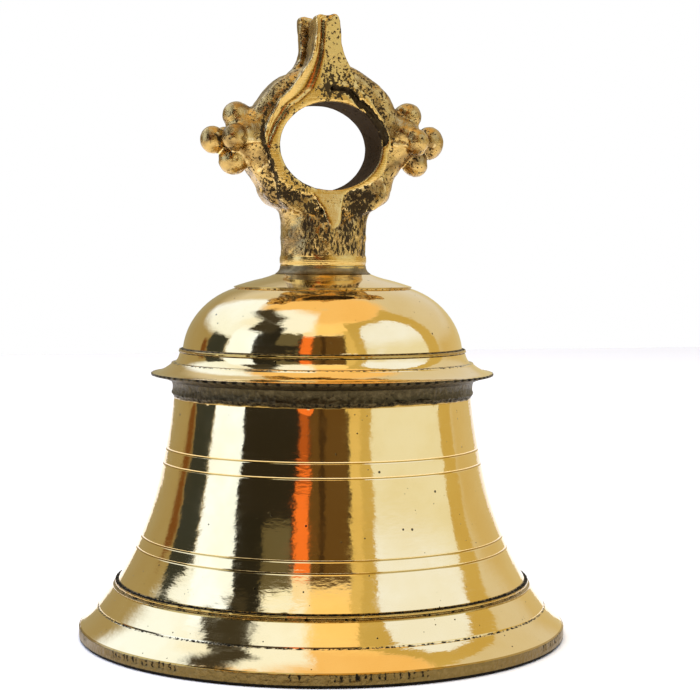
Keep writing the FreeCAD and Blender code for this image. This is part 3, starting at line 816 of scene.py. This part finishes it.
def clapper_ball():
    """Turned ball with a collar, dented where it strikes."""
    foot, top = BALL_Z - BALL_FOOT, BALL_Z + BALL_FOOT + COLLAR
    turn = np.linspace(-math.asin(BALL_FOOT / BALL_R), math.acos(6.9 / BALL_R), 44)
    sphere = [(BALL_R * math.cos(t), BALL_Z + BALL_R * math.sin(t)) for t in turn]
    rows = joined([
        stretch([(3, foot), sphere[0]], 4),
        np.hstack([np.array(sphere), np.zeros((len(sphere), 2))]),
        stretch([sphere[-1], (6.3, top - 0.8)], 5),
        stretch([(6.3, top - 0.8), (5.5, top)], 3),
        stretch([(5.5, top), (3, top)], 4),
        stretch([(3, top), (3, foot)], 3),
    ])[:-1]
    angle, quads = lathe(rows, 192)
    r, z = rows[:, 0:1] + 0 * angle, rows[:, 1:2] + 0 * angle
    x, y = r * np.cos(angle), r * np.sin(angle)
    struck = fall(abs(z - BALL_Z - 1), 4, 9) * rise(r, 9, 10)
    r = r - 0.22 * struck * rise(noise(x, y, z, 2.6, 121), 0.25, 0.8)
    r = r + rise(r, 3.4, 4) * 0.03 * noise(0, 0, z, 0.9, 122)
    points = np.stack([r * np.cos(angle), r * np.sin(angle), z], axis=-1).reshape(-1, 3)
    return add_mesh("clapper_bob", points, quads, "clapper", "clapper_ball", {})


# ---- materials

class Nodes:
    """An empty node tree, with short ways to add and join nodes."""

    def __init__(self, tree):
        self.tree = tree
        tree.nodes.clear()

    def add(self, kind, inputs=None, **settings):
        made = self.tree.nodes.new(kind)
        for key, value in settings.items():
            setattr(made, key, value)
        for key, value in (inputs or {}).items():
            self.feed(made.inputs[key], value)
        return made

    def feed(self, socket, value):
        if isinstance(value, bpy.types.NodeSocket):
            self.tree.links.new(value, socket)
        else:
            socket.default_value = (*value, 1) if socket.type == "RGBA" else value

    def math(self, operation, a, b=0.0, clamp=False):
        return self.add("ShaderNodeMath", {0: a, 1: b}, operation=operation, use_clamp=clamp).outputs[0]

    def plus(self, a, b, clamp=False):
        return self.math("ADD", a, b, clamp)

    def less(self, a, b, clamp=False):
        return self.math("SUBTRACT", a, b, clamp)

    def times(self, a, b):
        return self.math("MULTIPLY", a, b)

    def span(self, value, low, high, to_low=0.0, to_high=1.0):
        inputs = {"Value": value, "From Min": low, "From Max": high, "To Min": to_low, "To Max": to_high}
        return self.add("ShaderNodeMapRange", inputs, interpolation_type="SMOOTHSTEP").outputs[0]

    def blend(self, amount, a, b):
        return self.add("ShaderNodeMix", {0: amount, 6: a, 7: b}, data_type="RGBA").outputs[2]


class Shader(Nodes):
    """A material under construction."""

    def __init__(self, name):
        self.material = bpy.data.materials.new(name)
        self.material.use_nodes = True
        super().__init__(self.material.node_tree)
        self.surface = self.add("ShaderNodeBsdfPrincipled")
        self.add("ShaderNodeOutputMaterial", {0: self.surface.outputs[0]})

    def set(self, **inputs):
        for key, value in inputs.items():
            self.feed(self.surface.inputs[key.replace("_", " ")], value)

    def place(self, stretch_by=(1, 1, 1), turn=(0, 0, 0)):
        where = self.add("ShaderNodeTexCoord").outputs["Object"]
        inputs = {"Vector": where, "Scale": stretch_by, "Rotation": turn}
        return self.add("ShaderNodeMapping", inputs).outputs[0]

    def noise(self, size_mm, detail=3.0, stretch_by=(1, 1, 1), turn=(0, 0, 0), roughness=0.55):
        inputs = {"Vector": self.place(stretch_by, turn), "Scale": 1000.0 / size_mm}
        inputs |= {"Detail": detail, "Roughness": roughness}
        return self.add("ShaderNodeTexNoise", inputs).outputs["Fac"]

    def field(self, name):
        return self.add("ShaderNodeAttribute", attribute_name=name).outputs["Fac"]

    def bump(self, *layers):
        """Bump layers of (height, depth in millimetres), the coarsest first."""
        normal = None
        for height, depth in layers:
            inputs = {"Height": height, "Distance": depth * MM, "Strength": 1.0}
            if normal is not None:
                inputs["Normal"] = normal
            normal = self.add("ShaderNodeBump", inputs).outputs[0]
        self.set(Normal=normal)

    def specks(self, spacing_mm, share, size):
        """Round specks in a share of the cells of a pattern: 1 in a speck, 0 outside."""
        inputs = {"Vector": self.place(), "Scale": 1000.0 / spacing_mm}
        cells = self.add("ShaderNodeTexVoronoi", inputs)
        pick = self.add("ShaderNodeSeparateColor", {0: cells.outputs["Color"]})
        chosen = self.math("GREATER_THAN", pick.outputs[0], 1 - share)
        radius = self.times(pick.outputs[1], size)
        near = self.math("LESS_THAN", cells.outputs["Distance"], radius)
        return self.times(chosen, near)


POLISHED = (0.91, 0.69, 0.34)
POLISHED_DEEP = (0.87, 0.63, 0.27)
TARNISHED = (0.50, 0.31, 0.075)
OLIVE_SKIN = (0.062, 0.046, 0.020)
OLIVE_PALE = (0.115, 0.086, 0.040)
NEAR_BLACK = (0.018, 0.014, 0.009)


def polished_brass():
    """Turned and polished brass, with dirt and painted shade in its grooves, dull olive where it was never
    turned.
    """
    m = Shader("bell_brass")
    cast = m.span(m.field("cast"), 0.25, 0.75)
    tarnished = m.span(m.field("cast"), 0.0, 0.10)
    grime_and_shade = m.field("grime_and_shade")
    cloud = m.noise(26.0, 4.0)
    fine = m.noise(1.1, 4.0)
    grain = m.noise(1.6, 5.0)
    pits = m.specks(3.4, 0.16, 0.14)
    dots = m.specks(1.5, 0.09, 0.17)
    swarm = m.times(m.specks(1.2, 0.5, 0.2), m.span(m.noise(17.0, 3.0), 0.57, 0.70))
    marks = m.math("MAXIMUM", m.math("MAXIMUM", pits, dots), m.math("GREATER_THAN", swarm, 0.5))
    color = m.blend(m.span(cloud, 0.35, 0.7), POLISHED, POLISHED_DEEP)
    color = m.blend(tarnished, color, TARNISHED)
    olive = m.blend(m.span(grain, 0.42, 0.72), OLIVE_SKIN, OLIVE_PALE)
    color = m.blend(cast, color, olive)
    # dirt and painted shade from the outline, made patchy by noise, then laid on in near black
    worn = m.plus(grime_and_shade, m.span(fine, 0.3, 0.7, -0.35, 0.35))
    soiled_and_shaded = m.times(m.span(worn, 0.35, 0.8), m.span(grime_and_shade, 0.02, 0.12))
    color = m.blend(soiled_and_shaded, color, NEAR_BLACK)
    color = m.blend(m.times(marks, 0.9), color, NEAR_BLACK)
    rings = m.noise(9.0, 3.0, stretch_by=(0.35, 0.35, 14.0))
    smear = m.noise(6.0, 2.0, stretch_by=(1, 1, 0.6))
    gloss = m.plus(m.span(rings, 0.3, 0.8, 0.045, 0.10), m.span(smear, 0.45, 0.8, 0.0, 0.05))
    gloss = m.plus(gloss, m.times(cast, 0.36))
    gloss = m.plus(gloss, m.times(soiled_and_shaded, 0.35))
    m.set(Base_Color=color, Metallic=1.0, Roughness=gloss)
    wobble = m.noise(13.0, 2.0, stretch_by=(1.0, 1.0, 0.8))
    polish = m.noise(3.2, 2.0, stretch_by=(1.0, 1.0, 2.2))
    m.bump(
        (wobble, 0.16), (polish, 0.032), (rings, 0.008),
        (m.times(grain, cast), 0.5), (m.times(marks, -1.0), 0.12),
    )
    return m.material


CROWN_GOLD = (0.58, 0.375, 0.115)
CROWN_PALE = (0.92, 0.68, 0.29)
CROWN_BROWN = (0.27, 0.165, 0.055)
FILED_BRASS = (0.66, 0.43, 0.125)
BORE_SKIN_AND_SHADE = (0.060, 0.038, 0.019)
CROWN_BLACK = (0.026, 0.018, 0.010)


def aged_brass():
    """Rough cast brass: worn gold on what stands out, paler edges that are rubbed wear and painted highlight,
    near-black in what lies deep, painted shade on the hole's wall, filed rims.
    """
    m = Shader("crown_brass")
    hollow, edge = m.field("hollow"), m.field("edge")
    bright, dark, streak = m.field("filed"), m.field("dark"), m.field("streak")
    patches = m.noise(7.0, 4.0)
    specks = m.noise(1.0, 4.0, roughness=0.62)
    drawn = m.noise(0.75, 4.0, stretch_by=(1, 1, 0.38), roughness=0.62)
    clusters = m.noise(4.2, 3.0)
    fine = m.noise(0.5, 3.0)
    grain = m.plus(m.times(specks, m.less(1.0, streak)), m.times(drawn, streak))
    color = m.blend(m.span(patches, 0.40, 0.64), CROWN_GOLD, CROWN_BROWN)
    # edges paler: partly rubbed wear, partly a painted highlight
    color = m.blend(m.span(edge, 0.2, 0.65), color, CROWN_PALE)
    color = m.blend(m.span(bright, 0.3, 0.9), color, FILED_BRASS)
    depth = m.plus(dark, m.times(hollow, 0.40))
    depth = m.less(depth, m.times(edge, 0.30))
    depth = m.plus(depth, m.span(grain, 0.25, 0.75, -0.55, 0.55))
    depth = m.plus(depth, m.span(clusters, 0.3, 0.7, -0.16, 0.16))
    patina = m.span(depth, 0.50, 0.66)
    bore = m.field("bore")
    # the hole's wall painted dark brown and dull: its cast skin and painted shade
    color = m.blend(bore, color, BORE_SKIN_AND_SHADE)
    color = m.blend(m.times(patina, 0.95), color, CROWN_BLACK)
    gloss = m.plus(m.span(fine, 0.3, 0.7, 0.17, 0.27), m.times(patina, 0.25))
    gloss = m.plus(gloss, m.times(bore, 0.35), clamp=True)
    metal = m.less(1.0, m.times(patina, 0.35))
    metal = m.less(metal, m.times(bore, 0.9), clamp=True)
    m.set(Base_Color=color, Metallic=metal, Roughness=gloss, Specular_IOR_Level=0.0)
    file_marks = m.noise(5.0, 2.0, stretch_by=(0.5, 1.0, 9.0), turn=(0, 0.5, 0))
    cast = m.less(1.0, m.times(bright, 0.85))
    m.bump(
        (m.times(clusters, cast), 0.40), (m.times(grain, cast), 0.16), (m.times(fine, cast), 0.03),
        (m.times(file_marks, bright), 0.10), (m.times(patina, -1.0), 0.05),
    )
    return m.material


def dull_metal(name, color, deep, roughness, size_mm, metallic=1.0, rust=None):
    """Plain worn metal with blotches, fine scratches and, where given, rust in patches."""
    m = Shader(name)
    blotch = m.noise(size_mm, 5.0)
    fine = m.noise(0.8, 4.0)
    scratches = m.noise(4.0, 2.0, stretch_by=(1.0, 1.0, 16.0), turn=(0.3, 0.2, 0))
    shade = m.blend(m.span(blotch, 0.35, 0.68), color, deep)
    if rust is not None:
        shade = m.blend(m.span(m.noise(3.2, 6.0, roughness=0.7), 0.52, 0.70), shade, rust)
    gloss = m.span(fine, 0.3, 0.7, roughness - 0.07, roughness + 0.1)
    m.set(Base_Color=shade, Metallic=metallic, Roughness=gloss)
    m.bump((blotch, 0.12), (fine, 0.05), (scratches, 0.03))
    return m.material


def paint(made, material, bevel_mm=None):
    """Gives an object one material and, for a CAD piece, eased edges."""
    made.data.materials.clear()
    made.data.materials.append(material)
    if bevel_mm:
        ease = made.modifiers.new("eased_edges", "BEVEL")
        ease.width = bevel_mm * MM
        ease.segments = 2
        ease.limit_method = "ANGLE"
        ease.angle_limit = math.radians(35)


def build_object():
    """Every piece of the bell, painted, and the CAD pieces that no mesh replaces."""
    bell, crown = bell_body(), crown_loop()
    shank, fork, bob = clapper_shank(), hanger_fork(), clapper_ball()
    brass, aged = polished_brass(), aged_brass()
    iron = dull_metal("forged_iron", (0.10, 0.09, 0.08), (0.045, 0.04, 0.036), 0.48, 5.0,
                      metallic=0.85, rust=(0.16, 0.07, 0.03))
    steel = dull_metal("pin_steel", (0.42, 0.41, 0.39), (0.28, 0.26, 0.23), 0.34, 4.0)
    plain = dull_metal("fixing_brass", (0.62, 0.45, 0.19), (0.40, 0.28, 0.11), 0.36, 6.0)
    braze = dull_metal("braze", (0.30, 0.21, 0.085), (0.18, 0.125, 0.05), 0.44, 2.0)
    bob_brass = dull_metal("clapper_brass", (0.72, 0.52, 0.21), (0.46, 0.32, 0.12), 0.27, 7.0)
    for made, material in ((bell, brass), (crown, aged), (shank, iron), (fork, iron), (bob, bob_brass)):
        paint(made, material)
    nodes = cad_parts
    paint(nodes["foot_fillet"], braze)
    for name in ("crown_washer", "crown_nut"):
        paint(nodes[name], plain, 0.3)
    for name in ("pivot_pin", "pin_washer", "split_pin", "tail_nut"):
        paint(nodes[name], steel, 0.2)


# ---- studio

# What stands round the bell, as it shows in the polish: upright panels, a ceiling and dark
# flags. Each is (azimuth from, to, elevation from, to, softness, colour), in degrees, with
# azimuth from the camera's side of the bell and right positive; later ones cover earlier.
OPEN_ROOM = (0.78, 0.77, 0.72)
PANELS = [
    (-190, -100, -30, 30, 9.0, (0.42, 0.37, 0.22)),
    (112, 190, -30, 14, 6.0, (0.70, 0.60, 0.34)),
    (-150, -62, 24, 60, 5.0, (1.12, 1.42, 2.20)),
    (-88, -60, -30, 60, 1.0, (1.20, 1.58, 2.75)),
    (-190, 190, 60, 91, 5.0, (1.06, 0.75, 0.36)),
    (-14, 50, 42, 64, 5.0, (1.20, 0.93, 0.47)),
    (-62, -12, 40, 66, 5.0, (1.20, 1.25, 1.10)),
    (-100, -12, 42, 80, 8.0, (1.10, 1.30, 1.75)),
    (-119, -111, -30, 15, 2.0, (0.20, 0.09, 0.03)),
    (-110, -89, -30, 25, 1.2, (0.045, 0.055, 0.060)),
    (-61, 21, -30, 42, 1.0, (0.030, 0.028, 0.024)),
    (-60, -41, 20, 52, 2.0, (0.025, 0.025, 0.022)),
    (-80, -50, 40, 57, 2.0, (0.055, 0.052, 0.042)),
    (-115, -58, 55, 67, 3.0, (0.060, 0.055, 0.045)),
    (-41, -21, 24, 42, 1.5, (0.15, 0.14, 0.095)),
    (-9, 19, -30, 41, 1.5, (0.14, 0.082, 0.028)),
    (-2, 2, -30, 40, 1.2, (0.06, 0.035, 0.015)),
    (-20, -9, 38, 47, 1.5, (1.10, 1.05, 0.95)),
    (-19, -9, 16, 40, 1.2, (1.05, 0.26, 0.055)),
    (-16, -10, 6, 16, 1.5, (0.50, 0.13, 0.03)),
    (20, 30, -30, 50, 1.0, (0.82, 0.66, 0.28)),
    (28, 112, -30, 62, 1.2, (0.66, 0.53, 0.20)),
]
SOFTBOX = (36, 97, -40, 56, 20.0)  # azimuth from, to, elevation from, to, corner radius
SOFTBOX_LOW = (0.92, 1.00, 1.04)
SOFTBOX_HIGH = (1.03, 1.25, 1.90)


def surroundings():
    """A white studio to the camera, and the panels above to everything that reflects."""
    world = bpy.data.worlds.new("studio")
    bpy.context.scene.world = world
    world.use_nodes = True
    w = Nodes(world.node_tree)

    def between(angle, low, high, soft):
        return w.times(w.span(angle, low - soft, low + soft), w.span(angle, high + soft, high - soft))

    def beyond(angle, low, high, corner):
        """How far an angle lies outside a range whose corners are rounded."""
        middle, half = (low + high) / 2, (high - low) / 2 - corner
        return w.math("MAXIMUM", w.less(w.math("ABSOLUTE", w.less(angle, middle)), half), 0.0)

    split = w.add("ShaderNodeSeparateXYZ", {0: w.add("ShaderNodeTexCoord").outputs["Generated"]})
    bearing = w.math("ARCTAN2", split.outputs["X"], w.times(split.outputs["Y"], -1.0))
    bearing = w.less(w.times(bearing, 180 / math.pi), CAMERA_AZIMUTH)
    turns = w.math("FRACT", w.plus(w.math("DIVIDE", bearing, 360.0), 0.5))
    azimuth = w.less(w.times(turns, 360.0), 180.0)
    elevation = w.times(w.math("ARCSINE", split.outputs["Z"]), 180 / math.pi)

    seen = OPEN_ROOM
    for left, right, low, high, soft, tint in PANELS:
        across, upward = between(azimuth, left, right, soft), between(elevation, low, high, soft)
        seen = w.blend(w.times(across, upward), seen, tint)

    left, right, low, high, corner = SOFTBOX
    out_x, out_y = beyond(azimuth, left, right, corner), beyond(elevation, low, high, corner)
    out = w.math("SQRT", w.plus(w.times(out_x, out_x), w.times(out_y, out_y)))
    glow = w.blend(w.span(elevation, 14.0, 34.0), SOFTBOX_LOW, SOFTBOX_HIGH)
    seen = w.blend(w.span(out, corner + 0.8, corner - 0.8), seen, glow)

    seen = w.blend(w.add("ShaderNodeLightPath").outputs["Is Camera Ray"], seen, (1.0, 1.0, 1.0))
    background = w.add("ShaderNodeBackground", {0: seen})
    w.add("ShaderNodeOutputWorld", {0: background.outputs[0]})


def overhead():
    """A wide soft light for the table top, which the polish doesn't show."""
    light = bpy.data.lights.new("overhead", "AREA")
    light.shape = "DISK"
    light.size = 3.0
    light.energy = 40.0
    made = placed("overhead", light)
    made.location = (-0.4, -0.2, 1.6)
    aim = Vector((0, 0, 0)) - made.location
    made.rotation_mode = "QUATERNION"
    made.rotation_quaternion = aim.to_track_quat("-Z", "Y")
    made.visible_camera = False
    made.visible_glossy = False


def floor():
    """A pale table top that ends where the white room begins."""
    mesh = bpy.data.meshes.new("floor")
    half = 1.8
    corners = [(x * half, y * half, 0) for x, y in ((-1, -1), (1, -1), (1, 1), (-1, 1))]
    mesh.from_pydata(corners, [], [(0, 1, 2, 3)])
    made = placed("floor", mesh)
    made.location.z = -0.0002
    m = Shader("floor")
    m.set(Base_Color=(0.96, 0.96, 0.96), Roughness=0.6, Specular_IOR_Level=0.2)
    made.data.materials.append(m.material)


def camera():
    data = bpy.data.cameras.new("camera")
    data.lens = CAMERA_LENS
    data.sensor_width = 36.0
    data.clip_start = 0.01
    made = placed("camera", data)
    place, pitch = math.radians(CAMERA_AZIMUTH), math.radians(CAMERA_PITCH)
    heading = math.radians(CAMERA_TURN - CAMERA_AZIMUTH)
    made.location = (CAMERA_DISTANCE * math.sin(place), -CAMERA_DISTANCE * math.cos(place), CAMERA_HEIGHT)
    ahead = Vector((math.sin(heading), math.cos(heading), -math.tan(pitch)))
    level = ahead.to_track_quat("-Z", "Y").to_matrix()
    made.rotation_mode = "QUATERNION"
    made.rotation_quaternion = (level @ Matrix.Rotation(math.radians(CAMERA_ROLL), 3, "Z")).to_quaternion()
    bpy.context.scene.camera = made


build_object()
floor()
surroundings()
overhead()
camera()
bpy.context.scene.view_settings.view_transform = "Standard"
